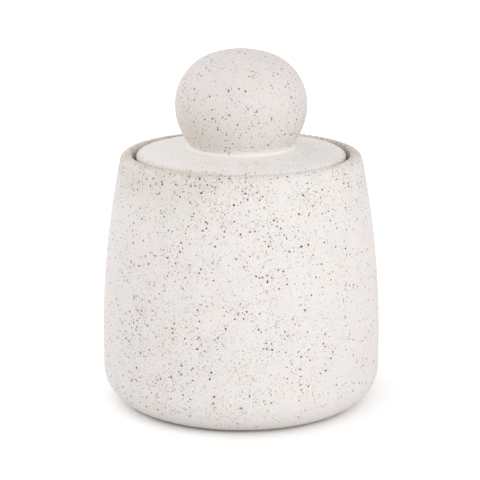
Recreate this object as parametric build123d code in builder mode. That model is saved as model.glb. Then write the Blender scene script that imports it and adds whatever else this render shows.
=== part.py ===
from build123d import *
import os
from math import asin, cos, degrees, radians, sin, sqrt

# A lidded stoneware jar with a ball knob. Millimetres, +Z up, origin at the centre of the foot.
# The lid drops onto a ledge inside the mouth and lifts straight off. The knob is a hollow ball
# that is made by itself and joined to the lid with clay slip before firing.

# Jar body
jar_height = 99.3
jar_r = 55.0  # widest outside radius
corner_r = 14.0  # rounding between the wall and the foot
wall_spring_height = 23.0  # where the upright lower wall starts to lean in
wall_taper = 8.1  # how far the rim stands inside the widest radius
wall = 4.8
floor_thickness = 6.5
inner_corner_r = 11.0
rim_wall = 4.4  # thickness of the lip outside the lid
rim_outer_round_share = 0.66  # rounding of the lip's outer edge, as a share of its thickness
rim_inner_round_share = 0.3  # and of its inner edge
foot_ring_width = 6.0
foot_recess = 1.5
foot_edge_round = 0.7

# Ledge inside the mouth, which carries the lid
ledge_depth = 6.3  # from the rim down to the ledge
ledge_width = 5.5
ledge_lip = 3.0  # upright face under the ledge's inner edge
ledge_flare = 9.0  # height over which the ledge's underside runs out to the wall
ledge_flare_round = 6.0  # softens the corner where the underside meets the wall
ledge_edge_round = 1.0
ledge_root_round = 0.9

# Lid
lid_gap = 1.5  # clearance around the lid's edge, inside the lip
lid_edge = 6.5  # thickness of the lid at its edge
lid_edge_round = 1.8
lid_bottom_round = 1.0
lid_rise = 1.8  # from the lid's edge up to the foot of the cove round the knob
lid_dish = 0.35  # how far the lid's top sags below a straight slope
lid_plate = 6.2  # thickness of the lid inside its collar
cove_width = 2.6
cove_height = 1.3
cove_sag = 0.45
collar_gap = 1.0  # clearance between the lid's collar and the ledge
collar_wall = 4.5
collar_depth = 9.0  # below the ledge
collar_round = 1.5
collar_root_round = 0.6
vent_r = 1.4  # pin hole that lets air out of the hollow knob

# Knob
knob_r = 25.8
knob_neck_draw = 5.7  # how much narrower the ball is where it meets the lid
knob_belly_height = 15.5  # from the lid up to the ball's widest place
knob_flatten = 4.2  # how much lower the top is than a full ball's
knob_crown_angle = 71.4  # degrees above the widest place where the flatter crown starts
knob_wall = 5.0
knob_base_thickness = 5.0

overrun = 1.0  # how far a cutting shape runs past the surface it opens
edge_tolerance = 0.01  # how near an edge lies to the place it is looked for

# Places that follow from the sizes above
rim_outer_r = jar_r - wall_taper
socket_r = rim_outer_r - rim_wall
throat_r = socket_r - ledge_width
lid_r = socket_r - lid_gap
collar_r = throat_r - collar_gap
foot_r = jar_r - corner_r
foot_recess_r = foot_r - foot_ring_width
ledge_height = jar_height - ledge_depth
lid_edge_height = ledge_height + lid_edge
cove_foot_height = lid_edge_height + lid_rise
seat_height = cove_foot_height + cove_height
recess_r = collar_r - collar_wall
knob_neck_r = knob_r - knob_neck_draw
knob_equator_height = seat_height + knob_belly_height

# The wall's long curve is one arc, upright at its lower end, which runs through the rim.
wall_curve_r = ((jar_height - wall_spring_height) ** 2 + wall_taper**2) / (2 * wall_taper)

# The ball's outline is three arcs that run smoothly into each other. The belly arc is upright at
# the widest place and runs to the neck. Above it the shoulder arc goes up to the crown angle, and
# the flatter crown arc, whose centre is on the axis, closes the top.
knob_belly_r = (knob_belly_height**2 + knob_neck_draw**2) / (2 * knob_neck_draw)
crown_slope_share = (1 - sin(radians(knob_crown_angle))) / cos(radians(knob_crown_angle))
knob_shoulder_r = knob_r - knob_flatten / (1 - crown_slope_share)
crown_offset = (knob_r - knob_shoulder_r) * sin(radians(knob_crown_angle)) / cos(radians(knob_crown_angle))
knob_crown_r = knob_r - knob_flatten + crown_offset


def wall_radius(height, inset):
    """Radius of the wall's long curve at a height, at a depth under the outer surface."""
    rise = height - wall_spring_height
    return jar_r - wall_curve_r + sqrt((wall_curve_r - inset) ** 2 - rise**2)


def rings_at(part, height, radius):
    """The round edges of a turned part that lie at one height and one radius."""
    edges = part.edges().filter_by(GeomType.CIRCLE)
    edges = edges.filter_by(lambda edge: abs(edge.radius - radius) < edge_tolerance)
    return edges.filter_by(lambda edge: abs(edge.center().Z - height) < edge_tolerance)


def make_jar_body():
    """The pot: outside shape, then the inside with its ledge, then the recess under the foot."""
    with BuildPart() as jar_body:
        with BuildSketch(Plane.XZ):
            with BuildLine():
                Line((0, 0), (foot_r, 0))
                CenterArc((foot_r, corner_r), corner_r, -90, 90)
                Line((jar_r, corner_r), (jar_r, wall_spring_height))
                TangentArc((jar_r, wall_spring_height), (rim_outer_r, jar_height), tangent=(0, 1))
                Polyline((rim_outer_r, jar_height), (0, jar_height), (0, 0))
            make_face()
        revolve(axis=Axis.Z)

        inner_r = jar_r - wall
        inner_corner_height = floor_thickness + inner_corner_r
        flare_height = ledge_height - ledge_lip - ledge_flare
        flare_r = wall_radius(flare_height, wall)
        with BuildSketch(Plane.XZ):
            with BuildLine():
                Line((0, floor_thickness), (inner_r - inner_corner_r, floor_thickness))
                CenterArc((inner_r - inner_corner_r, inner_corner_height), inner_corner_r, -90, 90)
                Line((inner_r, inner_corner_height), (inner_r, wall_spring_height))
                TangentArc((inner_r, wall_spring_height), (flare_r, flare_height), tangent=(0, 1))
                Polyline(
                    (flare_r, flare_height),
                    (throat_r, ledge_height - ledge_lip),
                    (throat_r, ledge_height),
                    (socket_r, ledge_height),
                    (socket_r, jar_height + overrun),
                    (0, jar_height + overrun),
                    (0, floor_thickness),
                )
            make_face()
        revolve(axis=Axis.Z, mode=Mode.SUBTRACT)

        with BuildSketch():
            Circle(foot_recess_r)
        extrude(amount=foot_recess, mode=Mode.SUBTRACT)

        fillet(rings_at(jar_body, jar_height, rim_outer_r), rim_wall * rim_outer_round_share)
        fillet(rings_at(jar_body, jar_height, socket_r), rim_wall * rim_inner_round_share)
        fillet(rings_at(jar_body, ledge_height, socket_r), ledge_root_round)
        fillet(rings_at(jar_body, ledge_height, throat_r), ledge_edge_round)
        fillet(rings_at(jar_body, ledge_height - ledge_lip, throat_r), ledge_edge_round)
        fillet(rings_at(jar_body, flare_height, flare_r), ledge_flare_round)
        fillet(rings_at(jar_body, 0, foot_recess_r), foot_edge_round)
    return jar_body


def make_lid():
    """The lid: a plate with a sloping top and a seat for the knob, and a collar underneath."""
    plate_underside = ledge_height + lid_edge - lid_plate
    collar_foot = ledge_height - collar_depth
    cove_foot_r = knob_neck_r + cove_width
    with BuildPart() as lid:
        with BuildSketch(Plane.XZ):
            with BuildLine():
                Line((0, plate_underside), (recess_r, plate_underside))
                Polyline(
                    (recess_r, plate_underside),
                    (recess_r, collar_foot),
                    (collar_r, collar_foot),
                    (collar_r, ledge_height),
                    (lid_r, ledge_height),
                    (lid_r, lid_edge_height),
                )
                SagittaArc((lid_r, lid_edge_height), (cove_foot_r, cove_foot_height), lid_dish)
                SagittaArc((cove_foot_r, cove_foot_height), (knob_neck_r, seat_height), cove_sag)
                Polyline((knob_neck_r, seat_height), (0, seat_height), (0, plate_underside))
            make_face()
        revolve(axis=Axis.Z)
        fillet(rings_at(lid, lid_edge_height, lid_r), lid_edge_round)
        fillet(rings_at(lid, ledge_height, lid_r), lid_bottom_round)
        fillet(rings_at(lid, ledge_height, collar_r), collar_root_round)
        fillet(rings_at(lid, collar_foot, collar_r), collar_round)
        fillet(rings_at(lid, collar_foot, recess_r), collar_round)
        fillet(rings_at(lid, plate_underside, recess_r), collar_round)
        with Locations((0, 0, seat_height)):
            Hole(vent_r)
    return lid


def knob_outline(inset, base_height):
    """Draws half the ball's outline at a depth under its surface, closed along the axis."""
    equator = knob_equator_height
    belly_centre_r = knob_r - knob_belly_r
    belly_r = knob_belly_r - inset
    shoulder_centre_r = knob_r - knob_shoulder_r
    shoulder_r = knob_shoulder_r - inset
    crown_r = knob_crown_r - inset
    belly_angle = degrees(asin((equator - base_height) / belly_r))
    base_r = belly_centre_r + belly_r * cos(radians(belly_angle))
    CenterArc((belly_centre_r, equator), belly_r, -belly_angle, belly_angle)
    CenterArc((shoulder_centre_r, equator), shoulder_r, 0, knob_crown_angle)
    CenterArc((0, equator - crown_offset), crown_r, knob_crown_angle, 90 - knob_crown_angle)
    top = equator - crown_offset + crown_r
    Polyline((0, top), (0, base_height), (base_r, base_height))


def make_knob():
    """The knob: a hollow ball with a flat base that stands on the lid's seat."""
    with BuildPart() as knob:
        with BuildSketch(Plane.XZ):
            with BuildLine():
                knob_outline(0, seat_height)
            make_face()
        revolve(axis=Axis.Z)
        with BuildSketch(Plane.XZ):
            with BuildLine():
                knob_outline(knob_wall, seat_height + knob_base_thickness)
            make_face()
        revolve(axis=Axis.Z, mode=Mode.SUBTRACT)
        with BuildSketch(Plane.XY.offset(seat_height)):
            Circle(vent_r)
        extrude(amount=knob_base_thickness, mode=Mode.SUBTRACT)
    return knob


os.makedirs("parts", exist_ok=True)
pieces = {"jar_body": make_jar_body(), "lid": make_lid(), "knob": make_knob()}
for name, piece in pieces.items():
    piece.part.label = name
    export_step(piece.part, f"parts/{name}.step")
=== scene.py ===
from functools import cached_property
from math import asin, ceil, cos, hypot, pi, radians, sin, sqrt, tan

import bpy
import numpy as np
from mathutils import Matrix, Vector, noise


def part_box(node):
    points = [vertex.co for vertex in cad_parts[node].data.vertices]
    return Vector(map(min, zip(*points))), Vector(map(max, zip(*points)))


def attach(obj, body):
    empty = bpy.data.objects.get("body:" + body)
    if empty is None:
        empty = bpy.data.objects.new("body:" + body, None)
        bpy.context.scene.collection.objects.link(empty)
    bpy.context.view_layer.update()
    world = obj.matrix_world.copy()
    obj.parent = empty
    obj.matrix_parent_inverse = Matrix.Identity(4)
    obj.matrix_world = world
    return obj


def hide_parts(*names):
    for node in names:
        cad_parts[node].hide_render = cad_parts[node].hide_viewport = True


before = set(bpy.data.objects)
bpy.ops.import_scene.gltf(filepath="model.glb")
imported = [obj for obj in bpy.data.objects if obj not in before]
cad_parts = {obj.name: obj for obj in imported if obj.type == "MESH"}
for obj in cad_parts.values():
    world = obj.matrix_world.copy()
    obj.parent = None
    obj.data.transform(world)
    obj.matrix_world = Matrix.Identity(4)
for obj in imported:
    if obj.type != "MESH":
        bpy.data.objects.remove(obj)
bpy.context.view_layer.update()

# The looks of a lidded stoneware jar with a ball knob: three turned pieces in a matte speckled
# glaze, on a white floor under soft light. Outlines are in millimetres and meshes in metres.
MM = 0.001

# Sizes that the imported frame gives
jar_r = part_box("jar_body")[1].x / MM
jar_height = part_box("jar_body")[1].z / MM
lid_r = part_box("lid")[1].x / MM
collar_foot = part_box("lid")[0].z / MM
seat_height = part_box("lid")[1].z / MM
knob_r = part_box("knob")[1].x / MM
knob_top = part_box("knob")[1].z / MM

# Sizes inside those boxes, as in the CAD source
corner_r = 14.0
wall_spring = 23.0
wall_taper = 8.1
wall = 4.8
floor_thickness = 6.5
inner_corner_r = 11.0
rim_wall = 4.4
rim_outer_round_share = 0.66
rim_inner_round_share = 0.3
foot_ring_width = 6.0
foot_recess = 1.5
foot_edge_round = 0.7
ledge_depth = 6.3
ledge_width = 5.5
ledge_lip = 3.0
ledge_flare = 9.0
ledge_flare_round = 6.0
ledge_edge_round = 1.0
ledge_root_round = 0.9
lid_gap = 1.5
lid_edge = 6.5
lid_edge_round = 1.8
lid_bottom_round = 1.0
lid_rise = 1.8
lid_dish = 0.35
lid_plate = 6.2
cove_width = 2.6
cove_sag = 0.45
collar_r = 36.0
collar_wall = 4.5
collar_round = 1.5
collar_root_round = 0.6
vent_r = 1.4
knob_neck_draw = 5.7
knob_belly_height = 15.5
knob_crown_angle = radians(71.4)
knob_wall = 5.0
knob_base_thickness = 5.0

# What only the looks have: softened edges, and slip squeezed out round the knob's foot
soft_edge = 0.35
slip_reach = 0.75
slip_sink = 0.12
slip_round = 2.0

# Places that follow
rim_r = jar_r - wall_taper
rim_outer_round = rim_wall * rim_outer_round_share
rim_inner_round = rim_wall * rim_inner_round_share
socket_r = rim_r - rim_wall
throat_r = lid_r + lid_gap - ledge_width
foot_r = jar_r - corner_r
foot_recess_r = foot_r - foot_ring_width
wall_curve_r = ((jar_height - wall_spring) ** 2 + wall_taper**2) / (2 * wall_taper)
ledge_height = jar_height - ledge_depth
flare_height = ledge_height - ledge_lip - ledge_flare
lid_edge_height = ledge_height + lid_edge
plate_underside = lid_edge_height - lid_plate
knob_neck_r = knob_r - knob_neck_draw
knob_equator = seat_height + knob_belly_height
knob_base_height = seat_height + knob_base_thickness
cove_foot = (knob_neck_r + cove_width, lid_edge_height + lid_rise)

# How the outlines are cut into rings and turned
ring_step = 1.0
inside_step = 1.8
arc_turn = radians(9)
knob_fineness = 2  # the ball's arcs are cut this many times finer
sag_runs = 8
wall_runs = 20
jar_segments = 288
lid_segments = 256
on_axis = 1e-6  # a ring narrower than this is one point

# How uneven the hand leaves the clay, and where the pieces touch and it stays even
wobble_depth = 0.045  # slow hollows, at most twice this deep
wobble_size = 38.0
ripple_depth = 0.012  # small waves, at most twice this deep
ripple_size = 5.0
uneven_swing = 1.6
touch = 0.01
seat_skin = 0.3
slip_height = 0.9

# Marks on the surface: how strong, over how many millimetres they fade, how far they first keep
# their full strength, and the power that makes them fade sooner.
lip_thin = (0.9, 2.4)
band_thin = (0.48, 28.0, 0.0, 1.5)
# beige low on the jar, darker and warmer: partly thinner glaze, partly painted shade near the floor
foot_thin_and_shade = (0.4, 7.0, 1.0)
corner_pool = (1.0, 9.0)
# the bare clay's colour on the foot ring and up the lowest 1.6 mm of its corner, darker where the
# jar meets the floor
foot_dark_band = (1.3, 1.4, 0.2)
# bare patches on the inner lip: partly worn clay, partly painted shade in the gap under the lid's
# edge
lip_worn_and_shade = (0.44, 1.6, 1.0)
lip_iron = (0.5, 2.4)
band_iron = (0.8, 27.0)
foot_iron = (-0.5, 9.0, 4.0)
lid_edge_thin = (0.5, 2.2)
cove_pool = (1.0, 4.4, 0.5)
# painted shade on the lower part of the ball, in the beige of thinner glaze
knob_low_shade = (0.5, 18.0, 4.0)
knob_pool = (0.7, 1.6)

# Marks with one strength all over
wiped = 1.3
inside_thin = 0.8
underside_thin = 0.4
lid_iron_share = 1.8  # how much iron shows through the lid's thin glaze

# How far the marks' places reach past the forms that they belong to
outward = 0.1  # a surface that faces out by more than this is on the outside
lip_depth = 2.0
standing_height = 0.1
foot_margin = 1.0
corner_pool_inset = 5.0
corner_pool_rise = 3.0
ledge_margin = 0.4
ledge_reach = 0.8
lid_edge_inset = 0.5
lid_top_depth = 1.0
lid_seat_reach = 0.4
lid_seat_margin = 3.0
cove_pool_share = 0.8  # how far across the cove its pool is deepest
knob_base_reach = 0.05
knob_hollow_reach = 0.1

# Patterns in the glaze. First the noise: millimetres over which it changes, detail, roughness
# and start. Then its spread: from which value to which it is read, and what it gives there.
patterns = {
    "cream": ((10, 2.0, 0.5, 0.9), (0.40, 0.66)),
    "pale": ((6, 3.0, 0.6, 0.3), (0.35, 0.65, 0.0, 0.35)),
    "wear": ((5, 3.0, 0.6, 0.7), (0.25, 0.7, 0.7, 1.1)),  # the thinner glaze's strength, and with it that of the painted shade in its colour
    "turn_and_shade": ((50, 1.0, 0.5, 0.54), (0.4, 0.6, 0.25, 1.4)),  # the same, slowly round the pot, partly as painted shade on one side; it also sets painted light and shade on pooled glaze
    "drift": ((55, 1.0, 0.5, 0.845), (0.38, 0.62, 0.55, 1.2)),  # the iron, slowly round the pot
    "rust": ((7, 2.0, 0.5, 3.1), (0.48, 0.66)),
    "grain": ((0.8, 2.0, 0.6, 1.1), (0.48, 0.76, 0.0, 0.33)),
    "ragged": ((0.8, 2.0, 0.6, 1.1), (0.3, 0.7, -0.2, 0.2)),  # the edges of bare clay
    "patches": ((16, 2.0, 0.5, 0.4), (0.35, 0.65, -0.3, 0.1)),  # where a partly bare mark shows: worn clay, and on the inner lip painted shade
    "rough": ((3, 4.0, 0.6, 4.1), (0.3, 0.7, 0.55, 0.70)),
}
pink_noise = (13, 3.0, 0.55)
iron_noise = (9, 3.0, 0.65, 2.3)
tooth_noise = (0.55, 3.0, 0.6, 5.3)
drag_noise = (3.5, 2.0, 0.5, 6.1)
noise_middle = (0.5, 0.5, 0.5)

# How the patterns work together
pink_by_iron = 0.35  # how far the pink clouds follow the iron's crowding
pink_spread = (0.455, 0.635)
cream_most = 0.4
pool_light_and_shade = (-0.33, 0.84)  # pooled glaze brighter on one side round the pot and dimmer on the other: painted light and shade
crowd_spread = (0.34, 0.66, 0.35, 1.15)
pool_hides = 0.9  # how much of the iron pooled glaze covers
stain_spread = (0.3, 1.0, 0.05, 0.42)
bare_spread = (0.35, 0.65)

# Specks: millimetres between them, greatest radius, smallest share of it, softness, and start
speck_kinds = {
    "large": (1.8, 0.42, 0.8, 0.15, 11),
    "medium": (1.25, 0.335, 0.75, 0.3, 23),
    "fine": (1.05, 0.42, 0.6, 0.6, 37),
}
# How dark they are: from which random number to which, and the darkness there
speck_darkness = {
    "large": (0.0, 0.8, 0.8, 1.0),
    "medium": (0.1, 1.0, 0.3, 1.0),
    "fine": (0.0, 1.0, 0.15, 0.65),
}
halo_spread = 1.6  # a large speck's stain, as a share of its radius
bend_size = 0.7  # how fast the specks' outlines wander
bend_share = 1.1

# How the glaze shines and how its skin is dimpled
iron_gloss = 0.12
bare_rough = 0.88
tooth_depth = 0.022
drag_depth = 0.05
pit_depth = 0.03

# Colours, and how many specks of each kind there are
# The thin colour also serves as painted shade low on the knob and near the floor, and the bare
# colour partly as painted shade on the inner lip.
body_recipe = {
    "cool": (0.832, 0.799, 0.776, 1), "warm": (0.860, 0.787, 0.771, 1),
    "cream": (0.855, 0.806, 0.753, 1), "pale": (0.877, 0.842, 0.824, 1),
    "thin_and_shade": (0.730, 0.662, 0.595, 1), "pool": (0.905, 0.893, 0.873, 1),
    "bare": (0.500, 0.420, 0.350, 1), "stain": (0.560, 0.395, 0.300, 1),
    "rust": (0.210, 0.115, 0.070, 1), "grey": (0.280, 0.232, 0.210, 1),
    "brown": (0.082, 0.050, 0.042, 1), "dark": (0.026, 0.0145, 0.0125, 1),
    "large": 0.47, "medium": 0.61, "fine": 1.08,
}
lid_recipe = dict(
    body_recipe, cool=(0.891, 0.862, 0.842, 1), warm=(0.914, 0.854, 0.839, 1),
    cream=(0.899, 0.861, 0.814, 1), large=0.04, medium=0.36, fine=0.75,
)
# On the knob the beige of thinner glaze is the colour of the painted shade under the ball.
knob_recipe = dict(
    body_recipe, cool=(0.768, 0.722, 0.702, 1), warm=(0.786, 0.714, 0.698, 1),
    cream=(0.777, 0.721, 0.673, 1), pale=(0.800, 0.755, 0.738, 1),
    thin_and_shade=(0.700, 0.650, 0.585, 1), large=0.42, medium=0.80, fine=1.40,
)


def wall_radius(height, inset=0.0):
    """Radius of the jar's long curved wall at a height, at a depth under its surface."""
    return jar_r - wall_curve_r + sqrt((wall_curve_r - inset) ** 2 - (height - wall_spring) ** 2)


def sagging(start, end, sag):
    """Points of a shallow arc from start to end that bulges by sag to the left of its way."""
    start, end = np.array(start), np.array(end)
    length = hypot(*(end - start))
    along = (end - start) / length
    left = np.array((-along[1], along[0]))
    radius = (length**2 / 4 + sag**2) / (2 * sag)
    turns = asin(length / (2 * radius)) * np.linspace(-1, 1, sag_runs + 1)
    middle = (start + end) / 2 - left * (radius - sag)
    return [tuple(middle + radius * (left * cos(t) + along * sin(t))) for t in turns]


def rounded_corner(before, corner, after, radius):
    """The arc that rounds a corner and touches both its sides."""
    before, corner, after = np.array(before), np.array(corner), np.array(after)
    u = (before - corner) / hypot(*(before - corner))
    v = (after - corner) / hypot(*(after - corner))
    half = np.arccos(np.clip(u @ v, -1, 1)) / 2
    centre = corner + (u + v) / hypot(*(u + v)) * radius / sin(half)
    first = (corner + u * radius / tan(half) - centre) / radius
    last = (corner + v * radius / tan(half) - centre) / radius
    sweep = pi - 2 * half
    count = max(2, ceil(sweep / arc_turn), ceil(radius * sweep / ring_step))
    shares = np.linspace(0, 1, count + 1)
    return [
        tuple(centre + radius * (first * sin((1 - k) * sweep) + last * sin(k * sweep)) / sin(sweep))
        for k in shares
    ]


def outline(corners, closed=False):
    """Turns corners of (radius, height, rounding) into points, with long runs divided."""
    points = []
    for i, (r, z, rounding) in enumerate(corners):
        inner = closed or 0 < i < len(corners) - 1
        if rounding and inner:
            after = corners[(i + 1) % len(corners)]
            points += rounded_corner(corners[i - 1][:2], (r, z), after[:2], rounding)
        else:
            points.append((r, z))
    if closed:
        points.append(points[0])
    finer = [points[0]]
    for a, b in zip(points, points[1:]):
        inside = a[0] < lid_r - ring_step and a[1] < ledge_height
        step = inside_step if inside else ring_step
        count = max(1, ceil(hypot(b[0] - a[0], b[1] - a[1]) / step))
        finer += [tuple(np.array(a) + (np.array(b) - a) * k / count) for k in range(1, count + 1)]
    return finer[:-1] if closed else finer


def jar_outline():
    """The jar's section, from the middle of the foot round the rim to the middle inside."""
    inner_r = jar_r - wall
    outside = np.linspace(wall_spring, jar_height, wall_runs + 1)[:-1]
    inside = np.linspace(flare_height, wall_spring, wall_runs)[1:]
    return outline([
        (0, foot_recess, 0),
        (foot_recess_r, foot_recess, soft_edge),
        (foot_recess_r, 0, foot_edge_round),
        (jar_r, 0, corner_r),
        *[(wall_radius(z), z, 0) for z in outside],
        (rim_r, jar_height, rim_outer_round),
        (socket_r, jar_height, rim_inner_round),
        (socket_r, ledge_height, ledge_root_round),
        (throat_r, ledge_height, ledge_edge_round),
        (throat_r, ledge_height - ledge_lip, ledge_edge_round),
        (wall_radius(flare_height, wall), flare_height, ledge_flare_round),
        *[(wall_radius(z, wall), z, 0) for z in inside],
        (inner_r, floor_thickness, inner_corner_r),
        (0, floor_thickness, 0),
    ])


def lid_outline():
    """The lid's section, a closed loop round the vent."""
    recess_r = collar_r - collar_wall
    top = sagging((lid_r, lid_edge_height), cove_foot, lid_dish)
    cove = sagging(cove_foot, (knob_neck_r, seat_height), cove_sag)
    return outline([
        (vent_r, plate_underside, soft_edge),
        (recess_r, plate_underside, collar_round),
        (recess_r, collar_foot, collar_round),
        (collar_r, collar_foot, collar_round),
        (collar_r, ledge_height, collar_root_round),
        (lid_r, ledge_height, lid_bottom_round),
        (lid_r, lid_edge_height, lid_edge_round),
        *[(r, z, 0) for r, z in top[1:-1]],
        (*cove_foot, slip_round),
        *[(r, z, 0) for r, z in cove[1:]],
        (vent_r, seat_height, 0),
    ], closed=True)


def knob_side(inset, base_height):
    """The ball's outline at a depth under its surface, from the base up to the axis."""
    belly_r = ((knob_equator - seat_height) ** 2 + knob_neck_draw**2) / (2 * knob_neck_draw)
    slope_share = (1 - sin(knob_crown_angle)) / cos(knob_crown_angle)
    flatten = knob_r - (knob_top - knob_equator)
    shoulder_r = knob_r - flatten / (1 - slope_share)
    offset = (knob_r - shoulder_r) * tan(knob_crown_angle)
    crown_r = knob_top - knob_equator + offset - inset
    belly_turn = asin((knob_equator - base_height) / (belly_r - inset))
    arcs = [
        (knob_r - belly_r, knob_equator, belly_r - inset, -belly_turn, 0),
        (knob_r - shoulder_r, knob_equator, shoulder_r - inset, 0, knob_crown_angle),
        (0, knob_equator - offset, crown_r, knob_crown_angle, pi / 2),
    ]
    points = []
    for r, z, radius, start, end in arcs:
        turns = np.linspace(start, end, ceil((end - start) / arc_turn) * knob_fineness + 1)
        points += [(r + radius * cos(t), z + radius * sin(t), 0) for t in turns[:-1]]
    return points + [(0, knob_equator - offset + crown_r, 0)]


def knob_outline():
    """The knob's section, from the top of its hollow through the vent to the top outside."""
    inside = knob_side(knob_wall, knob_base_height)[::-1]
    cove = np.array(sagging(cove_foot, (knob_neck_r, seat_height), cove_sag))
    near = np.hypot(cove[:, 0] - knob_neck_r, cove[:, 1] - seat_height) < slip_reach
    slip_r, slip_z = cove[near][0]
    return outline([
        *inside[:-1],
        (*inside[-1][:2], soft_edge),
        (vent_r, knob_base_height, soft_edge),
        (vent_r, seat_height, soft_edge),
        (knob_neck_r - slip_reach, seat_height, 0),
        (slip_r - slip_sink, slip_z - slip_sink, 0),
        (slip_r, slip_z, 0),
        (knob_neck_r, seat_height, 0),
        *knob_side(0, seat_height)[1:],
    ])


def fading(value, strength, reach, flat=0.0, power=1.0):
    """A mark's strength up to a distance flat from zero, falling smoothly to 0 over the next
    reach."""
    share = np.clip(1 - (np.abs(value) - flat) / reach, 0, 1)
    return strength * (share * share * (3 - 2 * share)) ** power


def jar_marks(r, z, out, up):
    """Where the jar's glaze is thinner, where it pools, where the clay is bare and how much more
    iron shows. Low on the outside the beige of thinner glaze is partly painted shade near the
    floor, and on the inner lip the bare patches are partly painted shade. A bare mark over 1 is
    bare all over, and a lower one only in patches. The section's points lie at r and z, and out
    and up say which way the surface faces there."""
    depth = jar_height - z
    outer = out > outward
    near_lip = depth < lip_depth
    standing = z < standing_height

    rim_thin = np.maximum(fading(depth, *lip_thin), fading(depth, *band_thin))
    thin_and_shade = np.where(outer | near_lip, rim_thin, 0.0)
    # low on the outside the beige is partly painted shade near the floor
    thin_and_shade = np.maximum(thin_and_shade, np.where(outer, fading(z, *foot_thin_and_shade), 0))
    thin_and_shade = np.where(~outer & ~near_lip & (z > flare_height), inside_thin, thin_and_shade)

    pool_in = r - jar_r + wall + corner_pool_inset
    pool_up = z - floor_thickness - corner_pool_rise
    pool = fading(np.hypot(pool_in, pool_up), *corner_pool)

    # bare clay colour at the foot and up the lowest 1.6 mm of the corner
    ring = (r > foot_recess_r - foot_margin) & outer | standing
    foot = np.where(ring, fading(z, *foot_dark_band), 0)
    ledge = (r > throat_r - ledge_margin) & (r < socket_r + ledge_margin)
    ledge &= np.abs(z - ledge_height) < ledge_reach
    # bare patches on the inner lip, partly painted shade
    lip_bare_and_shade = fading(np.hypot(r - socket_r, depth), *lip_worn_and_shade)
    bare = np.where(ledge, wiped, np.where(outer | standing, foot, lip_bare_and_shade))

    outer_iron = fading(depth, *band_iron) + fading(z, *foot_iron)
    iron = np.where(outer, outer_iron, fading(depth, *lip_iron))
    return thin_and_shade, pool, bare, iron


def lid_marks(r, z, out, up):
    """The same for the lid, whose glaze pools in the cove round the knob."""
    edge = np.hypot(r - lid_r + lid_edge_inset, z - lid_edge_height + lid_edge_inset)
    top = z > lid_edge_height - lid_top_depth
    cove_middle = knob_neck_r + cove_width * cove_pool_share
    thin_and_shade = np.where(top, fading(edge, *lid_edge_thin), underside_thin)
    pool = np.where(top, fading(r - cove_middle, *cove_pool), 0)
    bare = wiped * ((z < ledge_height + lid_seat_reach) & (r > collar_r - lid_seat_margin))
    return thin_and_shade, pool, bare, lid_iron_share * thin_and_shade


def knob_marks(r, z, out, up):
    """The same for the knob, whose lower part is painted darker as shade under the ball, and whose
    base and hollow are bare.
    """
    above = z - seat_height
    base = (z < seat_height + knob_base_reach) & (r < knob_neck_r - slip_reach)
    faces_in = r * out + (z - knob_equator) * up < 0
    hollow = faces_in & (z > seat_height + knob_hollow_reach)
    bare = wiped * (base | hollow)
    # the knob's beige mark is painted shade under the ball
    return fading(above, *knob_low_shade), fading(above, *knob_pool), bare, np.zeros_like(r)


def jar_held(r, z):
    """Where the jar stands on the floor and carries the lid."""
    ledge = (r > throat_r) & (r < socket_r) & (np.abs(z - ledge_height) < touch)
    return (z < touch) | ledge


def lid_held(r, z):
    """Where the lid lies on the ledge and carries the knob."""
    return ((r > collar_r) & (z < ledge_height + touch)) | (z > seat_height - seat_skin)


def knob_held(r, z):
    """Where the knob stands on the lid, with the slip round its foot."""
    return z < seat_height + slip_height


def new_object(name, data):
    """An object of a mesh, lamp or camera, put in the scene."""
    made = bpy.data.objects.new(name, data)
    bpy.context.scene.collection.objects.link(made)
    return made


def uneven(point, size):
    """A smooth random number from 0 to 2 that changes over about size millimetres."""
    return min(max(1 + uneven_swing * noise.noise(Vector(point) / size), 0), 2)


def outward_ways(points, closed):
    """At each point of a section, the way that leads straight out of the clay."""
    ahead = np.roll(points, -1, axis=0)
    behind = np.roll(points, 1, axis=0)
    if not closed:
        ahead[-1] = points[-1] * 2 - points[-2]
        behind[0] = points[0] * 2 - points[1]
    along = ahead - behind
    along /= np.hypot(along[:, 0], along[:, 1])[:, None]
    return np.stack((along[:, 1], -along[:, 0]), axis=1)


def skin(rings, heights, segments):
    """Faces between neighbouring rings, and the places of their corners on the unrolled skin."""
    faces, uvs = [], []
    for i, (bottom, top) in enumerate(zip(heights, heights[1:])):
        low, high = rings[i], rings[(i + 1) % len(rings)]
        for j in range(segments):
            k = (j + 1) % segments
            left, right = j / segments, (j + 1) / segments
            middle = (left + right) / 2
            if len(low) == 1:
                faces.append((low[0], high[k], high[j]))
                uvs += [(middle, bottom), (right, top), (left, top)]
            elif len(high) == 1:
                faces.append((low[j], low[k], high[0]))
                uvs += [(left, bottom), (right, bottom), (middle, top)]
            else:
                faces.append((low[j], low[k], high[k], high[j]))
                uvs += [(left, bottom), (right, bottom), (right, top), (left, top)]
    return faces, uvs


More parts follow.
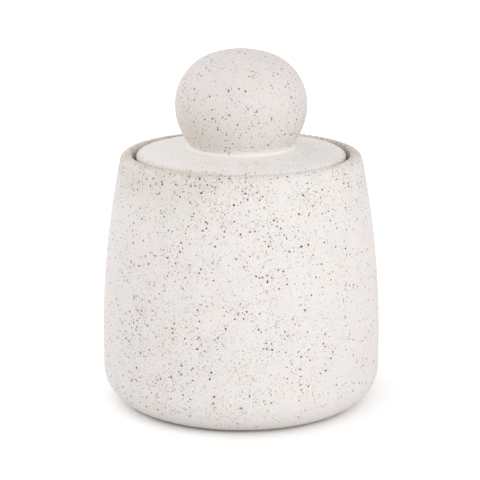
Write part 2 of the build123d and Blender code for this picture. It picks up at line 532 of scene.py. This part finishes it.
def turned(name, points, segments, marks, held, closed=False):
    """A mesh turned about the Z axis from a section. Its surface only ever sinks below the
    section, by the clay's unevenness, and where held is true it stays."""
    points = np.array(points)
    normals = outward_ways(points, closed)
    verts, rings = [], []
    for (r, z), (out, up), still in zip(points, normals, held(*points.T)):
        turns = [0] if r < on_axis else np.arange(segments) * 2 * pi / segments
        rings.append(np.arange(len(turns)) + len(verts))
        for t in turns:
            place = (r * cos(t), r * sin(t), z)
            sink = 0 if still else wobble_depth * uneven(place, wobble_size)
            sink += 0 if still else ripple_depth * uneven(place, ripple_size)
            verts.append(((r - out * sink) * cos(t), (r - out * sink) * sin(t), z - up * sink))

    runs = np.hypot(*(np.roll(points, -1, axis=0) - points).T)
    runs = runs if closed else runs[:-1]
    heights = np.concatenate(([0], np.cumsum(runs))) / runs.sum()
    faces, uvs = skin(rings, heights, segments)

    mesh = bpy.data.meshes.new(name)
    mesh.from_pydata((np.array(verts) * MM).tolist(), [], faces)
    mesh.uv_layers.new(name="OFBake").data.foreach_set("uv", np.array(uvs).ravel())
    sizes = [len(ring) for ring in rings]
    for mark, values in zip(("thin_and_shade", "pool", "bare", "iron"), marks(*points.T, *normals.T)):
        layer = mesh.attributes.new(mark, "FLOAT", "POINT")
        layer.data.foreach_set("value", np.repeat(values, sizes).astype(np.float32))
    mesh.polygons.foreach_set("use_smooth", [True] * len(mesh.polygons))
    mesh.update()
    return new_object(name, mesh)


class Nodes:
    """The nodes of a material or of the world. Numbers, colours and other nodes' outputs may all
    be given as inputs."""

    def __init__(self, owner):
        owner.use_nodes = True
        self.tree = owner.node_tree
        self.tree.nodes.clear()

    @cached_property
    def place(self):
        """Where on the object a point is, in metres."""
        return self.add("ShaderNodeTexCoord").outputs["Object"]

    def add(self, kind, inputs=(), **settings):
        """A new node. Inputs are named or counted as on the node."""
        node = self.tree.nodes.new(kind)
        for key, value in settings.items():
            setattr(node, key, value)
        for key, value in dict(inputs).items():
            if isinstance(value, bpy.types.NodeSocket):
                self.tree.links.new(value, node.inputs[key])
            else:
                node.inputs[key].default_value = value
        return node

    def math(self, operation, a, b=0.0, c=0.0):
        """Maths with one, two or three numbers."""
        return self.add("ShaderNodeMath", {0: a, 1: b, 2: c}, operation=operation).outputs[0]

    def vector(self, operation, a, b):
        """Vector maths. For SCALE, b is the factor."""
        inputs = {0: a, "Scale" if operation == "SCALE" else 1: b}
        return self.add("ShaderNodeVectorMath", inputs, operation=operation).outputs[0]

    def ramp(self, value, low, high, start=0.0, end=1.0):
        """The value's way from low to high as a smooth way from start to end."""
        inputs = {"Value": value, "From Min": low, "From Max": high, "To Min": start, "To Max": end}
        return self.add("ShaderNodeMapRange", inputs, interpolation_type="SMOOTHSTEP").outputs[0]

    def mix(self, share, a, b):
        """Colour b laid over colour a by a share. The node's colours are its inputs 6 and 7 and
        its output 2."""
        inputs = {0: share, 6: a, 7: b}
        return self.add("ShaderNodeMix", inputs, data_type="RGBA").outputs[2]

    def noise(self, size, detail, roughness, start=0.0):
        """Smooth noise from 0 to 1 that changes over about size millimetres."""
        place = self.vector("ADD", self.place, (start,) * 3)
        inputs = {"Vector": place, "Scale": 1 / (size * MM)}
        inputs |= {"Detail": detail, "Roughness": roughness}
        return self.add("ShaderNodeTexNoise", inputs).outputs[0]

    def pattern(self, name):
        """One of the glaze's patterns."""
        grain, spread = patterns[name]
        return self.ramp(self.noise(*grain), *spread)

    def mark(self, name):
        """One of the marks that the mesh carries."""
        return self.add("ShaderNodeAttribute", attribute_name=name).outputs["Fac"]

    def looked_at(self):
        """1 where a surface is seen by itself, in a reflection or through another, and 0 where
        it lights others."""
        rays = self.add("ShaderNodeLightPath").outputs
        either = self.math("MAXIMUM", rays["Is Camera Ray"], rays["Is Glossy Ray"])
        return self.math("MAXIMUM", either, rays["Is Transmission Ray"])


def specks(surface, kind, amount, spread=1.0):
    """Specks of random size and darkness, one at most in each cell. Returns how much of a speck
    covers each point, and a random number that is the same all over each speck."""
    cell, radius, smallest, soft, start = speck_kinds[kind]
    inputs = {"Vector": surface.place, "Scale": 1 / (bend_size * MM)}
    bend = surface.add("ShaderNodeTexNoise", inputs).outputs["Color"]
    bend = surface.vector("SUBTRACT", bend, noise_middle)
    bend = surface.vector("SCALE", bend, bend_share * radius * MM)
    place = surface.vector("ADD", surface.vector("ADD", surface.place, bend), (start * MM,) * 3)
    cells = surface.add("ShaderNodeTexVoronoi", {"Vector": place, "Scale": 1 / (cell * MM)})
    random = surface.add("ShaderNodeSeparateColor", {"Color": cells.outputs["Color"]}).outputs
    size = surface.math("MULTIPLY_ADD", random[0], 1 - smallest, smallest)
    reach = surface.math("MULTIPLY", size, radius * spread / cell)
    share = surface.math("DIVIDE", cells.outputs["Distance"], reach)
    cover = surface.ramp(share, 1.0, 1.0 - soft)
    present = surface.math("LESS_THAN", random[1], amount)
    return surface.math("MULTIPLY", cover, present), random[2]


def clean_glaze(surface, recipe, thin_and_shade, pool, patchy):
    """The glaze without its specks: slow pink, grey-green and cream clouds, pinker where there
    is more iron, beige where it is thinner and white where it pools. The same beige lays painted
    shade low on the knob and near the floor. The beige and the white also change slowly round
    the pot, partly as painted light and shade: more beige on one side, and the pooled white
    brighter on one side and dimmer on the other."""
    pink = surface.mix(pink_by_iron, surface.noise(*pink_noise), patchy)
    pink = surface.ramp(pink, *pink_spread)
    colour = surface.mix(pink, recipe["cool"], recipe["warm"])
    cream = surface.math("MULTIPLY", surface.pattern("cream"), cream_most)
    colour = surface.mix(cream, colour, recipe["cream"])
    colour = surface.mix(surface.pattern("pale"), colour, recipe["pale"])
    turn_and_shade = surface.pattern("turn_and_shade")
    wear = surface.math("MULTIPLY", surface.pattern("wear"), turn_and_shade)
    # beige of thinner glaze, which also paints shade low on the knob and near the floor
    colour = surface.mix(surface.math("MULTIPLY", thin_and_shade, wear), colour, recipe["thin_and_shade"])
    # pooled white brighter on one side round the pot and dimmer on the other: painted light and
    # shade
    full = surface.math("MULTIPLY_ADD", turn_and_shade, *pool_light_and_shade)
    return surface.mix(surface.math("MULTIPLY", pool, full), colour, recipe["pool"])


def iron_specks(surface, recipe, colour, pool, patchy):
    """Lays the clay's iron over the glaze, crowded in places and scarce where the glaze pools:
    stains and grain first, and then the specks from the faintest to the darkest. Returns the
    colour and how much iron shows at each point."""
    crowd = surface.math("MULTIPLY", surface.ramp(patchy, *crowd_spread), surface.pattern("drift"))
    crowd = surface.math("MULTIPLY", crowd, surface.math("ADD", surface.mark("iron"), 1.0))
    crowd = surface.math("MULTIPLY", crowd, surface.math("MULTIPLY_ADD", pool, -pool_hides, 1.0))
    amounts = {kind: surface.math("MULTIPLY", crowd, recipe[kind]) for kind in speck_kinds}
    rusty = surface.pattern("rust")
    shades = {
        "fine": recipe["grey"],
        "medium": surface.mix(rusty, recipe["brown"], recipe["rust"]),
        "large": recipe["dark"],
    }

    halo, _ = specks(surface, "large", amounts["large"], halo_spread)
    stain = surface.math("MULTIPLY", halo, surface.ramp(rusty, *stain_spread))
    colour = surface.mix(stain, colour, recipe["stain"])
    grain = surface.math("MULTIPLY", surface.pattern("grain"), crowd)
    colour = surface.mix(grain, colour, recipe["grey"])
    depths = {}
    for kind, shade in shades.items():
        cover, random = specks(surface, kind, amounts[kind])
        darkness = surface.ramp(random, *speck_darkness[kind])
        depths[kind] = surface.math("MULTIPLY", cover, darkness)
        colour = surface.mix(depths[kind], colour, shade)
    return colour, surface.math("MAXIMUM", depths["large"], depths["medium"])


def glaze(name, recipe):
    """Matte off-white glaze over speckled stoneware, bare where the clay was wiped or worn, with
    painted shade in the colours of thinner glaze and of bare clay.
    """
    material = bpy.data.materials.new(name)
    surface = Nodes(material)
    thin_and_shade, pool, bare = (surface.mark(mark) for mark in ("thin_and_shade", "pool", "bare"))
    bare = surface.math("ADD", bare, surface.pattern("ragged"))
    bare = surface.math("ADD", bare, surface.pattern("patches"))
    bare = surface.ramp(bare, *bare_spread)
    patchy = surface.noise(*iron_noise)
    colour = clean_glaze(surface, recipe, thin_and_shade, pool, patchy)
    colour = surface.mix(bare, colour, recipe["bare"])
    colour, iron = iron_specks(surface, recipe, colour, pool, patchy)

    rough = surface.math("MULTIPLY_ADD", iron, -iron_gloss, surface.pattern("rough"))
    rough = surface.math("MAXIMUM", rough, surface.math("MULTIPLY", bare, bare_rough))

    tooth = surface.math("MULTIPLY", surface.noise(*tooth_noise), tooth_depth * MM)
    drag = surface.math("MULTIPLY", surface.noise(*drag_noise), drag_depth * MM)
    height = surface.math("MULTIPLY_ADD", iron, -pit_depth * MM, surface.math("ADD", tooth, drag))
    bump = surface.add("ShaderNodeBump", {"Height": height, "Distance": 1.0, "Strength": 1.0})
    inputs = {"Base Color": colour, "Roughness": rough, "Normal": bump.outputs[0]}
    shader = surface.add("ShaderNodeBsdfPrincipled", inputs)
    surface.add("ShaderNodeOutputMaterial", {"Surface": shader.outputs[0]})
    return material


# Pieces
jar_piece = turned("glazed_jar", jar_outline(), jar_segments, jar_marks, jar_held)
lid_piece = turned("glazed_lid", lid_outline(), lid_segments, lid_marks, lid_held, closed=True)
knob_piece = turned("glazed_knob", knob_outline(), lid_segments, knob_marks, knob_held)
for piece, node, body, slot, recipe in (
    (jar_piece, "jar_body", "jar", "jar_glaze", body_recipe),
    (lid_piece, "lid", "lid", "lid_glaze", lid_recipe),
    (knob_piece, "knob", "lid", "knob_glaze", knob_recipe),
):
    piece.data.materials.append(glaze(slot, recipe))
    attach(piece, body)
    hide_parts(node)

# Floor: it looks brighter than it is, so it is white but for the contact shadow.
floor_half = 4.0
floor_white = (0.80, 0.80, 0.80, 1)
floor_seen = (1.22, 1.45)  # how bright it looks beside the jar and far away
floor_fade = (0.12, 0.60)  # metres from the jar's middle over which that changes
floor_corners = [(-1, -1, 0), (1, -1, 0), (1, 1, 0), (-1, 1, 0)]
floor_mesh = bpy.data.meshes.new("floor")
floor_mesh.from_pydata([Vector(c) * floor_half for c in floor_corners], [], [(0, 1, 2, 3)])
floor = new_object("floor", floor_mesh)
floor_material = bpy.data.materials.new("floor_paper")
paper = Nodes(floor_material)
away = paper.add("ShaderNodeVectorMath", {0: paper.place}, operation="LENGTH").outputs["Value"]
paper_seen = paper.ramp(away, *floor_fade, *floor_seen)
paper_colour = paper.mix(paper.looked_at(), floor_white, paper_seen)
paper_shader = paper.add("ShaderNodeBsdfDiffuse", {"Color": paper_colour})
paper.add("ShaderNodeOutputMaterial", {"Surface": paper_shader.outputs[0]})
floor_mesh.materials.append(floor_material)

# World: white where it is seen, and a soft light from all round.
world_light = 0.765
world = bpy.data.worlds.new("white_room")
bpy.context.scene.world = world
sky = Nodes(world)
strength = sky.math("MAXIMUM", sky.looked_at(), world_light)
background = sky.add("ShaderNodeBackground", {"Color": (1, 1, 1, 1), "Strength": strength})
sky.add("ShaderNodeOutputWorld", {"Surface": background.outputs[0]})

# Lamps: name, degrees right of the camera, degrees up, watts
lamps = [
    ("key", 40, 15, 3.6),
    ("front", 0, 15, 1.2),
    ("left", -85, 25, 1.6),
    ("left_back", -130, 30, 1.8),
]
lamp_away = 1.2
lamp_width = 0.9
lamp_aim = Vector((0, 0, 0.06))
for name, right, up, watts in lamps:
    lamp = bpy.data.lights.new(name, "AREA")
    lamp.shape = "DISK"
    lamp.size = lamp_width
    lamp.energy = watts
    holder = new_object(name, lamp)
    right, up = radians(right), radians(up)
    back = Vector((sin(right) * cos(up), -cos(right) * cos(up), sin(up)))
    holder.location = lamp_aim + back * lamp_away
    holder.rotation_euler = back.to_track_quat("Z", "Y").to_euler()

# Camera: where the photograph was taken from
camera_away = 0.7
camera_up = radians(14.27)
camera_aim = Vector((-0.00044, 0, 0.06374))
lens = bpy.data.cameras.new("camera")
lens.sensor_width = 36
lens.lens = 132.75
lens.clip_start = 0.01
camera = new_object("camera", lens)
camera.location = camera_aim + Vector((0, -cos(camera_up), sin(camera_up))) * camera_away
camera.rotation_euler = (pi / 2 - camera_up, 0, 0)
bpy.context.scene.camera = camera
bpy.context.scene.view_settings.view_transform = "Standard"
